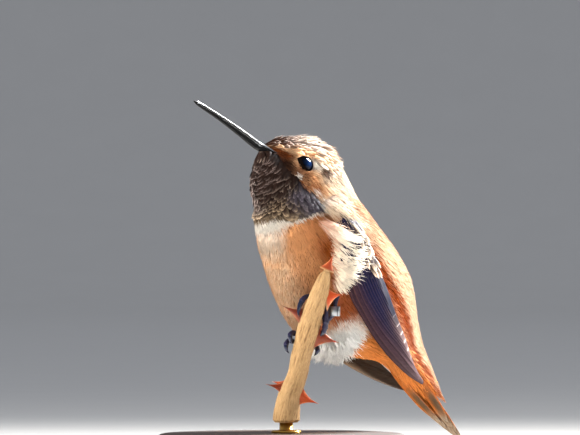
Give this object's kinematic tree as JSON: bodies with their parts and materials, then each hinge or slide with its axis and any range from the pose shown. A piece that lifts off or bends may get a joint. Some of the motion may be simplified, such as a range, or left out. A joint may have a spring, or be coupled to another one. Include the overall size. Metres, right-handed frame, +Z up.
{
  "type": "hummingbird figure",
  "caption": "Life-size hummingbird clinging to a short length of thorny stem, wings folded, head turned and bill raised, held by a rod on a round wooden base.",
  "frame": {"origin": "middle of the stand base's underside, on the surface it stands on", "axes": "+Z up; the bird's trunk heads toward -X with its back toward +X, and its left side is toward -Y"},
  "size_m": [0.0684, 0.051, 0.0718],
  "materials": {
    "head_plumage": "satin",
    "body_plumage": "matte",
    "tail_feather": "satin",
    "bill_horn": "gloss",
    "eye_gloss": "gloss",
    "wing_feather": "satin",
    "leg_skin": "satin",
    "band_metal": "brushed",
    "stem_bark": "matte",
    "stand_wood": "satin",
    "stand_metal": "satin"
  },
  "bodies": {
    "root": {"head": "head_plumage", "neck": "head_plumage", "trunk": "body_plumage", "rump": "body_plumage", "tail": "tail_feather", "bill_upper": "bill_horn", "bill_lower": "bill_horn", "eye_left": "eye_gloss", "eye_right": "eye_gloss", "wing_left_arm": "wing_feather", "wing_left_hand": "wing_feather", "wing_right_arm": "wing_feather", "wing_right_hand": "wing_feather", "leg_left": "leg_skin", "leg_right": "leg_skin", "foot_left": "leg_skin", "foot_right": "leg_skin", "leg_band": "band_metal", "perch_stem": "stem_bark", "stand_base": "stand_wood", "stand_rod": "stand_metal"}
  },
  "joints": []
}
